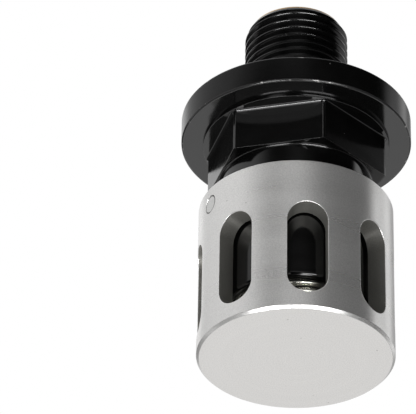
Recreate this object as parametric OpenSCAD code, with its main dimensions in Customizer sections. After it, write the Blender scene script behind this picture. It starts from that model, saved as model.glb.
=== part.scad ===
// Oil drain plug with a sprung valve piston inside a slotted cap.
// The plug stands on the flat end of its cap, with the threaded spigot up.
// Z is the axis of every turned piece, and the slot of the cap at -Y is the first one.

/* [Spigot] */
// Outer diameter of the spigot's thread
thread_d = 18; // [14:0.5:22]
// Length of the spigot above the flange
spigot_len = 19.2; // [14:0.05:24]
// Diameter of the thread relief beside the flange
relief_d = 15.8; // [12.5:0.1:21]
// Width of the thread relief
relief_w = 2.4; // [1.5:0.1:3.5]
// Lead chamfer at the spigot's end, measured on the radius
lead_edge = 1.15; // [0.5:0.05:1.6]
// Length of the lead chamfer along the axis
lead_len = 1.9; // [0.5:0.1:2.5]
// Diameter of the oil passage
passage_d = 10.5; // [8:0.1:11]
// Chamfer at the mouth of the passage
mouth_edge = 0.5; // [0.2:0.1:0.8]

/* [Flange] */
// Diameter of the sealing flange
flange_d = 39.5; // [34:0.1:48]
// Thickness of the flange
flange_t = 4.9; // [3:0.1:7]
// Chamfer on both rims of the flange
flange_edge = 0.35; // [0.1:0.05:0.8]

/* [Hexagon] */
// Width of the hexagon across its flats
hex_af = 27; // [22:0.5:33]
// Height of the hexagon's flats
hex_h = 7.6; // [5:0.1:10]
// Turn of the hexagon against the first slot, in degrees
hex_turn = 10.7; // [0:0.1:60]
// Turned land left on each corner of the hexagon, measured on the radius
corner_break = 0.12; // [0.05:0.01:0.4]
// Height of the turned collar above the flats
collar_h = 0.6; // [0.4:0.1:1.5]
// Step of the collar beyond the hexagon's corners
collar_step = 0.55; // [0.2:0.05:1.5]

/* [Neck] */
// Length of the neck that shows between the hexagon and the cap
neck_show = 5.55; // [3:0.05:8]
// Length of the neck inside the cap
neck_in = 5.6; // [4.8:0.1:7]
// Fillet where the neck meets the hexagon
root_fillet = 0.5; // [0.2:0.05:0.5]
// Chamfer that leads the neck into the cap
neck_lead = 0.6; // [0.3:0.1:0.9]
// Radial clearance of the neck in the cap
neck_fit = 0.04; // [0.02:0.01:0.08]

/* [Slotted cap] */
// Outer diameter of the cap
cap_d = 33; // [28:0.1:40]
// Wall of the cap
cap_wall = 3.5; // [2.5:0.1:5]
// Height of the cap
cap_h = 28.8; // [24:0.1:36]
// Thickness of the cap's floor
floor_t = 2.8; // [2:0.1:3.6]
// Chamfer round the cap's flat end
foot_edge = 0.45; // [0.2:0.05:1]
// Chamfer round the cap's open rim, outside and inside
rim_edge = 0.3; // [0.1:0.05:0.6]
// Number of slots
slot_count = 8; // [4:1:10]
// Width of a slot, which has round ends
slot_w = 6.8; // [4.5:0.1:8]
// Height of the slots' lower ends above the floor
slot_above_floor = 0.3; // [0.1:0.05:1]
// Distance of the slots' upper ends below the neck's end
slot_below_neck = 2.65; // [2:0.05:4]

/* [Lock pin] */
// Diameter of the pin that locks the cap on the neck
pin_d = 3.1; // [2:0.1:3.4]
// Distance of the pin's axis below the cap's rim
pin_drop = 3.5; // [2.6:0.1:3.9]
// Depth of the pin in the neck
pin_depth = 2.4; // [1.5:0.1:3.5]
// Radial clearance round the pin
pin_fit = 0.03; // [0.01:0.01:0.08]
// Depth of the pin's hole beyond the pin's end
pin_end_gap = 0.2; // [0.1:0.05:0.5]

/* [Valve] */
// Outer diameter of the seat round the passage
seat_d = 14; // [13:0.1:16]
// Height of the seat below the neck's end
seat_h = 0.6; // [0.3:0.1:1]
// Travel of the piston from its seat
travel = 4.5; // [2:0.1:5]
// Gap left under the piston at the end of its travel
stop_gap = 1.3; // [0.2:0.1:2]
// Wall of the piston's skirt
skirt_wall = 1.5; // [1:0.1:2]
// Thickness of the piston's head
head_t = 4; // [3:0.1:5]
// Height of the guide land round the head
land_h = 1.2; // [1:0.1:2.4]
// Radial clearance of the guide land in the cap
land_fit = 0.07; // [0.03:0.01:0.1]
// Chamfer on the guide land's upper edge
land_edge = 0.3; // [0.1:0.05:0.5]
// Radial gap between the skirt and the cap
skirt_gap = 0.45; // [0.3:0.05:0.9]
// Chamfer round the skirt's lower lip
lip_edge = 0.4; // [0.2:0.1:0.7]
// Diameter of the seal disc
seal_d = 17; // [16:0.1:19]
// Thickness of the seal disc
seal_t = 2; // [1.2:0.1:2.6]
// Height of the seal disc above the piston's head
seal_proud = 0.4; // [0.2:0.05:0.7]
// Radial clearance of the seal disc in its recess
seal_fit = 0.04; // [0.02:0.01:0.08]

/* [Spring] */
// Diameter of the spring's wire
wire_d = 1.2; // [0.8:0.05:1.45]
// Radial gap between the spring and the skirt
spring_gap = 0.35; // [0.2:0.05:0.8]
// Number of close turns at the spring's foot
foot_turns = 3.5; // [2:0.5:4]
// Gap between the wires of the close turns
foot_gap = 0.45; // [0.1:0.05:0.6]
// Number of open turns that give the travel
open_turns = 3; // [2:0.5:4]
// Angle from the first slot at which the wire starts, in degrees
spring_start = 192; // [0:1:359]

/* [Sealing washer] */
// Width of the washer's ring
washer_w = 4.25; // [3:0.05:5.5]
// Thickness of the washer
washer_t = 2.3; // [1:0.1:3]
// Radial clearance of the washer round the thread
washer_fit = 0.2; // [0.1:0.05:0.4]
// Rounding chamfer on the washer's edges
washer_edge = 0.2; // [0.1:0.05:0.4]

/* [Hidden] */
$fn = 128;

// How far a cutter reaches past the surface it cuts
past = 1;

// Radii of what fits together
bore_r = cap_d / 2 - cap_wall;
neck_r = bore_r - neck_fit;
land_r = bore_r - land_fit;
skirt_r = bore_r - skirt_gap;
pocket_r = skirt_r - skirt_wall;
coil_r = pocket_r - spring_gap - wire_d / 2;
corner_r = hex_af / sqrt(3) - corner_break;
collar_r = corner_r + collar_step;
washer_r = thread_d / 2 + washer_fit;

// Heights from the cap's flat end up
hex_z = cap_h + neck_show;
collar_z = hex_z + hex_h;
flange_z = collar_z + collar_h;
flange_top = flange_z + flange_t;
top_z = flange_top + spigot_len;
neck_end = cap_h - neck_in;
seat_z = neck_end - seat_h;
head_z = seat_z - seal_proud;
pocket_z = head_z - head_t;
lip_z = floor_t + travel + stop_gap;
slot_low = floor_t + slot_above_floor;
slot_top = neck_end - slot_below_neck;
pin_z = cap_h - pin_drop;

// The pin sits midway between two slots
slot_step = 360 / slot_count;
pin_turn = -slot_step * 1.5;

// Spring: close turns at the foot, open turns, then one close turn under the piston's head
ring_steps = 30;
wire_sides = 10;
end_cut = 0.15 * wire_d;
foot_pitch = wire_d + foot_gap;
top_pitch = wire_d + foot_gap / 4;
coil_turns = foot_turns + open_turns + 1;
coil_low = floor_t + end_cut;
coil_high = pocket_z - end_cut;
open_pitch = (coil_high - coil_low - foot_turns * foot_pitch - top_pitch) / open_turns;

// Points of an arc round a centre, from one angle to another
function arc(centre, r, from, to, steps = 8) =
    [for (i = [0:steps])
        let (a = from + (to - from) * i / steps)
        [centre[0] + r * cos(a), centre[1] + r * sin(a)]];

// Height of the wire's centre after a number of turns
function coil_z(t) =
    coil_low
    + foot_pitch * min(t, foot_turns)
    + open_pitch * max(0, min(t - foot_turns, open_turns))
    + top_pitch * max(0, t - foot_turns - open_turns);

// One ring of points round the wire after a number of turns
function wire_ring(t) =
    [for (i = [0:wire_sides - 1])
        let (a = 360 * i / wire_sides, r = coil_r + wire_d / 2 * cos(a), turn = 360 * t + spring_start - 90)
        [r * cos(turn), r * sin(turn), coil_z(t) + wire_d / 2 * sin(a)]];

// Places its children at a slot's angle, seen from -Y towards +X
module at_angle(angle) {
    rotate([0, 0, angle])
        children();
}

// A radial drill along -Y from the axis out to a length
module radial_hole(d, z, from, to) {
    translate([0, -from, z])
        rotate([90, 0, 0])
            cylinder(d = d, h = to - from);
}

// Cutter of one slot with round ends, from inside the bore to beyond the wall
module slot_cutter() {
    inner = bore_r - past;
    outer = cap_d / 2 + past;
    radial_hole(slot_w, slot_low + slot_w / 2, inner, outer);
    radial_hole(slot_w, slot_top - slot_w / 2, inner, outer);
    translate([-slot_w / 2, -outer, slot_low + slot_w / 2])
        cube([slot_w, outer - inner, slot_top - slot_low - slot_w]);
}

// Turned body: neck, collar, flange and spigot round one passage
module body_turning() {
    core_r = neck_r + root_fillet;
    rotate_extrude()
        polygon(concat(
            [[passage_d / 2, seat_z],
             [seat_d / 2, seat_z],
             [seat_d / 2, neck_end],
             [neck_r - neck_lead, neck_end],
             [neck_r, neck_end + neck_lead]],
            arc([core_r, hex_z - root_fillet], root_fillet, 180, 90),
            [[core_r, collar_z],
             [collar_r, collar_z],
             [collar_r, flange_z],
             [flange_d / 2 - flange_edge, flange_z],
             [flange_d / 2, flange_z + flange_edge],
             [flange_d / 2, flange_top - flange_edge],
             [flange_d / 2 - flange_edge, flange_top],
             [relief_d / 2, flange_top],
             [relief_d / 2, flange_top + relief_w],
             [thread_d / 2, flange_top + relief_w + (thread_d - relief_d) / 2],
             [thread_d / 2, top_z - lead_len],
             [thread_d / 2 - lead_edge, top_z],
             [passage_d / 2 + mouth_edge, top_z],
             [passage_d / 2, top_z - mouth_edge]]));
}

// Ring of the hexagon with its corners turned off to one diameter
module hexagon_ring() {
    translate([0, 0, hex_z])
        difference() {
            intersection() {
                at_angle(hex_turn - 90)
                    cylinder(r = hex_af / sqrt(3), h = hex_h, $fn = 6);
                cylinder(r = corner_r, h = hex_h);
            }
            translate([0, 0, -past])
                cylinder(d = passage_d, h = hex_h + 2 * past);
        }
}

module plug_body() {
    color([0.07, 0.07, 0.08])
        difference() {
            union() {
                body_turning();
                hexagon_ring();
            }
            at_angle(pin_turn)
                radial_hole(pin_d + 2 * pin_fit, pin_z, neck_r - pin_depth - pin_end_gap, neck_r + past);
        }
}

module slotted_cap() {
    color([0.8, 0.8, 0.79])
        difference() {
            rotate_extrude()
                polygon([[0, 0],
                         [cap_d / 2 - foot_edge, 0],
                         [cap_d / 2, foot_edge],
                         [cap_d / 2, cap_h - rim_edge],
                         [cap_d / 2 - rim_edge, cap_h],
                         [bore_r + rim_edge, cap_h],
                         [bore_r, cap_h - rim_edge],
                         [bore_r, floor_t],
                         [0, floor_t]]);
            for (i = [0:slot_count - 1])
                at_angle(slot_step * i)
                    slot_cutter();
            at_angle(pin_turn)
                radial_hole(pin_d + 2 * pin_fit, pin_z, bore_r - past, cap_d / 2 + past);
        }
}

// Pin pressed in flush with the cap's wall
module lock_pin() {
    color([0.72, 0.72, 0.72])
        intersection() {
            at_angle(pin_turn)
                radial_hole(pin_d, pin_z, neck_r - pin_depth, cap_d / 2 + past);
            translate([0, 0, pin_z - pin_d])
                cylinder(d = cap_d, h = 2 * pin_d);
        }
}

// Cup-shaped piston: head with a guide land and a seal recess, and a skirt round the spring
module valve_piston() {
    recess_r = seal_d / 2 + seal_fit;
    recess_z = head_z - seal_t + seal_proud;
    color([0.1, 0.1, 0.11])
        rotate_extrude()
            polygon([[0, recess_z],
                     [recess_r, recess_z],
                     [recess_r, head_z],
                     [land_r - land_edge, head_z],
                     [land_r, head_z - land_edge],
                     [land_r, head_z - land_h],
                     [skirt_r, head_z - land_h - (land_r - skirt_r)],
                     [skirt_r, lip_z + lip_edge],
                     [skirt_r - lip_edge, lip_z],
                     [pocket_r, lip_z],
                     [pocket_r, pocket_z],
                     [0, pocket_z]]);
}

module seal_disc() {
    color([0.16, 0.15, 0.15])
        translate([0, 0, seat_z - seal_t])
            cylinder(d = seal_d, h = seal_t);
}

// Spring with both ends ground flat
module return_spring() {
    last = round(coil_turns * ring_steps);
    points = [for (k = [0:last]) each wire_ring(k / ring_steps)];
    walls = [for (k = [0:last - 1], i = [0:wire_sides - 1])
                let (j = (i + 1) % wire_sides, a = k * wire_sides, b = a + wire_sides)
                [a + i, b + i, b + j, a + j]];
    start = [for (i = [0:wire_sides - 1]) i];
    end = [for (i = [wire_sides - 1:-1:0]) last * wire_sides + i];
    color([0.75, 0.75, 0.76])
        intersection() {
            polyhedron(points = points, faces = concat(walls, [start, end]), convexity = 10);
            translate([0, 0, floor_t])
                cylinder(r = pocket_r, h = pocket_z - floor_t);
        }
}

module sealing_washer() {
    outer_r = washer_r + washer_w;
    color([0.6, 0.6, 0.6])
        translate([0, 0, flange_top])
            rotate_extrude()
                polygon([[washer_r, washer_edge],
                         [washer_r + washer_edge, 0],
                         [outer_r - washer_edge, 0],
                         [outer_r, washer_edge],
                         [outer_r, washer_t - washer_edge],
                         [outer_r - washer_edge, washer_t],
                         [washer_r + washer_edge, washer_t],
                         [washer_r, washer_t - washer_edge]]);
}

plug_body();
slotted_cap();
lock_pin();
valve_piston();
seal_disc();
return_spring();
sealing_washer();
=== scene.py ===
"""Looks of the oil drain plug: its seven pieces, their finishes and the studio round them.

The meshes are worked in millimetres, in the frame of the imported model, and scaled to metres when
they become objects. Angles round the plug are measured from its first slot, which faces -Y, towards +X.
"""
import logging
import math
from collections.abc import Callable, Iterable, Sequence
from dataclasses import dataclass
from enum import Enum
from typing import ClassVar

import bmesh
import bpy
from mathutils import Matrix, Vector


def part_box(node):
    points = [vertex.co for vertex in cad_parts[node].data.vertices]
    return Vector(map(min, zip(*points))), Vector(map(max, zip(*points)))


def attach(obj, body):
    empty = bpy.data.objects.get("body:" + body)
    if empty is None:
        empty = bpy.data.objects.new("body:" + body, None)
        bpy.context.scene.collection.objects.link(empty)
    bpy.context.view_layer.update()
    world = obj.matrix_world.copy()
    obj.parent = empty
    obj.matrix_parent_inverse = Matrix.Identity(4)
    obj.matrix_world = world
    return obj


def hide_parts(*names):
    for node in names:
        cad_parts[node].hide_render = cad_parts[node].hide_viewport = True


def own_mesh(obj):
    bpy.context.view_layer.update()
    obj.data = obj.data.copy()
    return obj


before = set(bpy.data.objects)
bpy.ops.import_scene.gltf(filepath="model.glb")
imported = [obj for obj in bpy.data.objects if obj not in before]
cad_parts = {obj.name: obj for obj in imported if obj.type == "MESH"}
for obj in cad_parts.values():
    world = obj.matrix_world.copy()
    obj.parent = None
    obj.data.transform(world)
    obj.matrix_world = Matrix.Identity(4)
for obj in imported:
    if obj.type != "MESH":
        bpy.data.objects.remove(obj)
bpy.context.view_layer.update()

LOG = logging.getLogger("oil_drain_plug")
MM = 0.001
STEPS = 192
SHARP = math.radians(32)
FLANK = math.tan(math.radians(30))
UPRIGHT = Matrix.Rotation(math.radians(90), 4, "X")
# Distances in millimetres within which two things count as one, from fine to coarse.
TOUCH = 1e-4
WELD = 1e-3
NEAR = 2e-3
SLACK = 0.01
# The part of its range in which a noise has most of its values.
MIDDLE = (0.3, 0.7)

Point = tuple[float, float]
Colour = tuple[float, float, float]
Vert, Edge, Face = bmesh.types.BMVert, bmesh.types.BMEdge, bmesh.types.BMFace
Ring = list[Edge]
Socket = bpy.types.NodeSocket
Feed = Socket | float | tuple
Feeds = dict[str | int, Feed]


def box_mm(node: str) -> tuple[Vector, Vector]:
    """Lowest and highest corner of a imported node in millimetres."""
    low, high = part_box(node)
    return low / MM, high / MM


def heading(angle: float, rise: float) -> Vector:
    """Direction away from the plug.

    Args:
        angle: Degrees from -Y towards +X.
        rise: Degrees above the level.

    Returns:
        A vector of length one.
    """
    turn, lift = math.radians(angle), math.radians(rise)
    flat = Vector((math.sin(turn), -math.cos(turn), 0)) * math.cos(lift)
    return flat + Vector((0, 0, math.sin(lift)))


def only(kind: type, items: Iterable) -> list:
    """The mesh items of one kind."""
    return [item for item in items if isinstance(item, kind)]


def ends(edges: Iterable[Edge]) -> set[Vert]:
    """The points at the ends of some edges."""
    return {vert for edge in edges for vert in edge.verts}


def on_wall(co: Vector, r: float) -> Vector:
    """A point pushed along Y onto the wall of a radius, on the first slot's side."""
    return Vector((co.x, -math.sqrt(r * r - co.x * co.x), co.z))


def add_object(name: str, data: bpy.types.ID) -> bpy.types.Object:
    """Puts an object with its data into the scene.

    Args:
        name: Name of the object.
        data: Its mesh, lamp or camera.

    Returns:
        The object.
    """
    made = bpy.data.objects.new(name, data)
    bpy.context.scene.collection.objects.link(made)
    return made


def hide_from(item: bpy.types.Object, *rays: str) -> None:
    """Hides an object from some kinds of rays."""
    for ray in rays:
        setattr(item, f"visible_{ray}", False)


class Form:
    """A mesh in millimetres that is grown ring by ring, then rounded and dressed."""

    def __init__(self) -> None:
        """Starts with nothing in it."""
        self.bm = bmesh.new()
        self.mark = self.bm.faces.layers.float.new("edge")

    @property
    def parts(self) -> list:
        """All its points, edges and faces."""
        return [*self.bm.verts, *self.bm.edges, *self.bm.faces]

    def circle(self, r: float, z: float, steps: int = STEPS, turn: Matrix | None = None) -> Ring:
        """Starts a ring round the axis.

        Args:
            r: Radius of the ring.
            z: Height of the ring.
            steps: Number of its edges.
            turn: How the ring is turned before it is lifted, if it is.

        Returns:
            The ring's edges.
        """
        place = Matrix.Translation((0, 0, z)) @ (turn or Matrix())
        made = bmesh.ops.create_circle(self.bm, cap_ends=False, radius=r, segments=steps, matrix=place)
        return list({edge for vert in made["verts"] for edge in vert.link_edges})

    def pull(self, ring: Ring, place: Callable[[Vector], Vector]) -> Ring:
        """Extrudes a ring and puts each new point where it belongs.

        Args:
            ring: Edges to extrude.
            place: Gives a new point's place from the old one.

        Returns:
            The new ring.
        """
        made = bmesh.ops.extrude_edge_only(self.bm, edges=ring)["geom"]
        verts = set(only(Vert, made))
        for vert in verts:
            vert.co = place(vert.co)
        return [edge for edge in only(Edge, made) if set(edge.verts) <= verts]

    def turn(self, ring: Ring, profile: Iterable[Point]) -> Ring:
        """Grows a turned skin from a ring.

        Args:
            ring: Ring to start from.
            profile: Radius and height of each further ring.

        Returns:
            The last ring.
        """
        for r, z in profile:
            ring = self.pull(ring, lambda co: co.xy.normalized().to_3d() * r + Vector((0, 0, z)))
        return ring

    def solid(self, profile: Sequence[Point], steps: int = STEPS) -> None:
        """Turns a profile round the axis and closes both ends flat.

        Args:
            profile: Radius and height of each ring.
            steps: Number of edges in a ring.
        """
        ring = self.circle(*profile[0], steps)
        self.fill(ring)
        self.fill(self.turn(ring, profile[1:]))

    def bridge(self, first: Ring, second: Ring) -> None:
        """Joins two rings with faces."""
        bmesh.ops.bridge_loops(self.bm, edges=first + second)

    def fill(self, ring: Ring) -> None:
        """Closes a flat ring with one face."""
        bmesh.ops.edgeloop_fill(self.bm, edges=ring)

    def divide(self, edges: Ring, cuts: int) -> Ring:
        """Divides edges evenly, and gives the edges that they turn into."""
        made = bmesh.ops.subdivide_edges(self.bm, edges=edges, cuts=cuts)
        return only(Edge, made["geom_inner"] + made["geom_split"])

    def wind(self, geom: list, turns: float, pitch: float, steps: int) -> list:
        """Sweeps points and edges up a right-handed helix round the axis.

        Args:
            geom: What is swept.
            turns: Number of turns.
            pitch: Rise of one turn.
            steps: Number of steps in all.

        Returns:
            What lies at the far end.
        """
        return bmesh.ops.spin(
            self.bm,
            geom=geom,
            cent=(0, 0, 0),
            axis=(0, 0, 1),
            dvec=(0, 0, turns * pitch / steps),
            angle=math.tau * turns,
            steps=steps,
            use_merge=False,
            use_duplicate=False,
        )["geom_last"]

    def repeat(self, places: Iterable[Matrix], dist: float) -> None:
        """Copies all that is there to further places and joins what meets.

        Args:
            places: Where each copy goes.
            dist: Points closer than this are joined.
        """
        first = self.parts
        for place in places:
            made = bmesh.ops.duplicate(self.bm, geom=first)["geom"]
            bmesh.ops.transform(self.bm, matrix=place, verts=only(Vert, made))
        self.merge(dist)

    def edges_where(self, test: Callable[[Vector], bool]) -> Ring:
        """Edges of which both ends pass a test."""
        return [edge for edge in self.bm.edges if all(test(vert.co) for vert in edge.verts)]

    def ring_at(self, r: float, z: float) -> Ring:
        """Edges of the ring at one radius and height."""
        return self.edges_where(lambda co: abs(co.xy.length - r) < NEAR and abs(co.z - z) < NEAR)

    def round_off(self, edges: Ring, width: float, segments: int = 3, worn: float = 1.0) -> None:
        """Rounds edges and marks the new faces as worn edges.

        Args:
            edges: Edges to round.
            width: Width taken off each side.
            segments: Number of faces across the rounding.
            worn: Value of the mark, from 0 to 1.
        """
        made = bmesh.ops.bevel(
            self.bm,
            geom=edges,
            offset=width,
            offset_type="OFFSET",
            affect="EDGES",
            segments=segments,
            profile=0.5,
            material=-1,
            clamp_overlap=True,
        )
        for face in made["faces"]:
            face[self.mark] = worn

    def round_ring(self, r: float, z: float, width: float, segments: int = 3, worn: float = 1.0) -> None:
        """Rounds off the ring at one radius and height."""
        self.round_off(self.ring_at(r, z), width, segments, worn)

    def cut(self, height: float, keep_above: bool) -> Ring:
        """Cuts the form at a height and throws one side away.

        Args:
            height: Height of the cut.
            keep_above: Whether the upper side stays.

        Returns:
            The open edges along the cut.
        """
        bmesh.ops.bisect_plane(
            self.bm,
            geom=self.parts,
            dist=1e-5,
            plane_co=(0, 0, height),
            plane_no=(0, 0, 1),
            clear_inner=keep_above,
            clear_outer=not keep_above,
        )
        return self.open_at(height)

    def open_at(self, height: float) -> Ring:
        """The open edges at a height."""
        return [e for e in self.edges_where(lambda co: abs(co.z - height) < TOUCH) if e.is_boundary]

    def move(self, matrix: Matrix) -> None:
        """Moves the whole form."""
        bmesh.ops.transform(self.bm, matrix=matrix, verts=self.bm.verts)

    def merge(self, dist: float = TOUCH) -> None:
        """Joins points that lie closer than a distance."""
        bmesh.ops.remove_doubles(self.bm, verts=self.bm.verts, dist=dist)

    def weld(self) -> None:
        """Joins points that meet, then turns all faces outwards."""
        self.merge()
        bmesh.ops.recalc_face_normals(self.bm, faces=self.bm.faces)

    def as_object(self, name: str) -> bpy.types.Object:
        """Makes a Blender object of the form as it is, in millimetres.

        Args:
            name: Name of the mesh and of the object.

        Returns:
            The object.
        """
        mesh = bpy.data.meshes.new(name)
        self.bm.to_mesh(mesh)
        return add_object(name, mesh)

    def drill(self, tool: "Form") -> None:
        """Takes another form away from this one.

        Args:
            tool: The form to take away, which is used up.
        """
        self.weld()
        tool.weld()
        stock, cutter = self.as_object("stock"), tool.as_object("cutter")
        step = stock.modifiers.new("drill", "BOOLEAN")
        step.operation, step.solver, step.object = "DIFFERENCE", "EXACT", cutter
        drilled = bpy.data.meshes.new_from_object(stock.evaluated_get(bpy.context.evaluated_depsgraph_get()))
        self.bm.clear()
        self.bm.from_mesh(drilled)
        self.mark = self.bm.faces.layers.float["edge"]
        for spent in (stock.data, cutter.data, drilled):
            bpy.data.meshes.remove(spent)


class Sheet:
    """Adds and joins the nodes of one tree."""

    def __init__(self, tree: bpy.types.NodeTree) -> None:
        """Works on a tree, and keeps what is in it."""
        self.tree = tree

    def add(self, kind: str, feeds: Feeds | None = None, **settings: object) -> bpy.types.Node:
        """Adds a node.

        Args:
            kind: Type of the node, without the word ShaderNode.
            feeds: What goes into its sockets, by name or number.
            settings: Values of its other properties.

        Returns:
            The node.
        """
        made = self.tree.nodes.new(f"ShaderNode{kind}")
        for name, value in settings.items():
            setattr(made, name, value)
        for key, value in (feeds or {}).items():
            self.feed(made.inputs[key], value)
        return made

    def feed(self, socket: Socket, value: Feed) -> None:
        """Links a socket into another, or sets its value.

        Args:
            socket: The input socket.
            value: The socket to link from, or a constant.
        """
        if isinstance(value, Socket):
            self.tree.links.new(value, socket)
        else:
            socket.default_value = value

    def math(self, operation: str, first: Feed, second: Feed = 0.0, clamp: bool = False) -> Socket:
        """Result of a sum on one or two values."""
        return self.add("Math", {0: first, 1: second}, operation=operation, use_clamp=clamp).outputs[0]

    def times(self, first: Feed, second: Feed) -> Socket:
        """Product of two values."""
        return self.math("MULTIPLY", first, second)

    def spread(self, value: Feed, old: Point, new: Point = (0.0, 1.0), smooth: bool = False) -> Socket:
        """A value moved from one range into another, kept within it.

        Args:
            value: The value.
            old: Range that it comes from.
            new: Range that it goes to.
            smooth: Whether the change eases in and out.

        Returns:
            The moved value.
        """
        limits = {"From Min": old[0], "From Max": old[1], "To Min": new[0], "To Max": new[1]}
        kind = "SMOOTHSTEP" if smooth else "LINEAR"
        return self.add("MapRange", {"Value": value, **limits}, interpolation_type=kind).outputs["Result"]

    def blend(self, factor: Feed, first: Feed, second: Feed) -> Socket:
        """A colour between two colours."""
        return self.add("Mix", {0: factor, 6: first, 7: second}, data_type="RGBA").outputs[2]

    def noise(self, vector: Feed, scale: Feed, detail: float, rough: float = 0.5) -> Socket:
        """A noise value from 0 to 1."""
        feeds = {"Vector": vector, "Scale": scale, "Detail": detail, "Roughness": rough}
        return self.add("TexNoise", feeds).outputs["Fac"]

    def relief(self, strength: float, height: Feed, distance: float = 0.0002) -> Socket:
        """A normal that follows a height."""
        return self.add("Bump", {"Strength": strength, "Distance": distance, "Height": height}).outputs[0]


class Effect:
    """A shader node group that several finishes share, built once."""

    name = "effect"
    inputs: dict[str, float | tuple] = {}
    outputs: tuple[str, ...] = ()

    @classmethod
    def tree(cls) -> bpy.types.NodeTree:
        """The group's node tree, which is made at its first use.

        Returns:
            The node tree.
        """
        if cls.name in bpy.data.node_groups:
            return bpy.data.node_groups[cls.name]
        tree = bpy.data.node_groups.new(cls.name, "ShaderNodeTree")
        for name, value in cls.inputs.items():
            kind = "NodeSocketVector" if isinstance(value, tuple) else "NodeSocketFloat"
            tree.interface.new_socket(name, in_out="INPUT", socket_type=kind).default_value = value
        for name in cls.outputs:
            tree.interface.new_socket(name, in_out="OUTPUT", socket_type="NodeSocketFloat")
        start = tree.nodes.new("NodeGroupInput")
        end = tree.nodes.new("NodeGroupOutput")
        sheet = Sheet(tree)
        made = cls.build(sheet, {name: start.outputs[name] for name in cls.inputs})
        for name, socket in zip(cls.outputs, made):
            sheet.feed(end.inputs[name], socket)
        return tree

    @classmethod
    def build(cls, sheet: Sheet, start: dict[str, Socket]) -> tuple[Socket, ...]:
        """Fills the group.

        Args:
            sheet: Sheet of the group's tree.
            start: The group's inputs by name.

        Returns:
            The sockets that the outputs show, in their order.
        """
        raise NotImplementedError

    @classmethod
    def use(cls, sheet: Sheet, **feeds: Feed) -> dict[str, Socket]:
        """Places the group in a material.

        Args:
            sheet: Sheet of the material's tree.
            feeds: What goes into the group's inputs.

        Returns:
            The group's outputs by name.
        """
        node = sheet.add("Group", node_tree=cls.tree())
        for name, value in feeds.items():
            sheet.feed(node.inputs[name], value)
        return {name: node.outputs[name] for name in cls.outputs}


class TurningLines(Effect):
    """Fine lines that a lathe leaves, round the axis on walls and on end faces alike."""

    name = "turning_lines"
    inputs = {"Place": (0.0, 0.0, 0.0), "Lines": 4000.0, "Drift": 0.4}
    outputs = ("Lines", "Bands")

    @classmethod
    def build(cls, sheet: Sheet, start: dict[str, Socket]) -> tuple[Socket, ...]:
        """Reads noise along the ring coordinate, which is radius plus height.

        Args:
            sheet: Sheet of the group's tree.
            start: The group's inputs by name.

        Returns:
            The sockets that the outputs show, in their order.
        """
        x, y, z = sheet.add("SeparateXYZ", {0: start["Place"]}).outputs
        square = sheet.math("ADD", sheet.times(x, x), sheet.times(y, y))
        radius = sheet.math("ADD", sheet.math("SQRT", square), 1e-5)
        ring = sheet.times(sheet.math("ADD", radius, z), start["Lines"])
        east, north = (sheet.times(sheet.math("DIVIDE", side, radius), start["Drift"]) for side in (x, y))
        fine = sheet.add("CombineXYZ", {0: ring, 1: east, 2: north}).outputs[0]
        wide = sheet.add("VectorMath", {0: fine, 1: (0.12, 0.6, 0.6)}, operation="MULTIPLY").outputs[0]
        return sheet.noise(fine, 1.0, 2.0, 0.6), sheet.noise(wide, 1.0, 2.0)


class EdgeWearAndShade(Effect):
    """Spots along the marked edges: rubbed wear, and on the pin painted shade."""

    name = "edge_wear_and_shade"
    inputs = {"Place": (0.0, 0.0, 0.0), "Mark": 0.0, "Scale": 900.0, "Share": 0.5}
    outputs = ("Mask",)

    @classmethod
    def build(cls, sheet: Sheet, start: dict[str, Socket]) -> tuple[Socket, ...]:
        """Keeps the share of the marked faces where a noise is high.

        Args:
            sheet: Sheet of the group's tree.
            start: The group's inputs by name.

        Returns:
            The sockets that the outputs show, in their order.
        """
        rubbed = sheet.noise(start["Place"], start["Scale"], 3.0)
        edge = sheet.math("SUBTRACT", 0.85, sheet.times(start["Share"], 0.6))
        high = sheet.math("MULTIPLY", sheet.math("SUBTRACT", rubbed, edge), 12.0, clamp=True)
        return (sheet.times(high, start["Mark"]),)


class Specks(Effect):
    """Sparse specks of dust and tiny pits."""

    name = "specks"
    inputs = {"Place": (0.0, 0.0, 0.0), "Scale": 900.0, "Size": 0.1, "Share": 0.2}
    outputs = ("Mask",)

    @classmethod
    def build(cls, sheet: Sheet, start: dict[str, Socket]) -> tuple[Socket, ...]:
        """Shows a share of the cells of a Voronoi texture as small dots.

        Args:
            sheet: Sheet of the group's tree.
            start: The group's inputs by name.

        Returns:
            The sockets that the outputs show, in their order.
        """
        cells = sheet.add("TexVoronoi", {"Vector": start["Place"], "Scale": start["Scale"]})
        near = sheet.math("LESS_THAN", cells.outputs["Distance"], start["Size"])
        pick = sheet.add("SeparateColor", {0: cells.outputs["Color"]}).outputs[0]
        return (sheet.times(near, sheet.math("LESS_THAN", pick, start["Share"])),)


def tone(colour: Colour, factor: float = 1.0) -> tuple[float, ...]:
    """A colour made darker or lighter, as a colour socket takes it."""
    return (*(min(1.0, part * factor) for part in colour), 1.0)


@dataclass(frozen=True)
class Finish:
    """Look of one surface."""

    name: str

    def material(self) -> bpy.types.Material:
        """The material, which is made at its first use.

        Returns:
            The material.
        """
        if self.name in bpy.data.materials:
            return bpy.data.materials[self.name]
        made = bpy.data.materials.new(self.name)
        made.use_nodes = True
        made.node_tree.nodes.clear()
        sheet = Sheet(made.node_tree)
        place = sheet.add("TexCoord").outputs["Object"]
        sheet.add("OutputMaterial", {"Surface": self.shade(sheet, place)})
        return made

    def shade(self, sheet: Sheet, place: Socket) -> Socket:
        """Builds the shader.

        Args:
            sheet: Sheet of the material's tree.
            place: Object coordinates.

        Returns:
            The shader's output.
        """
        raise NotImplementedError


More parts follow.
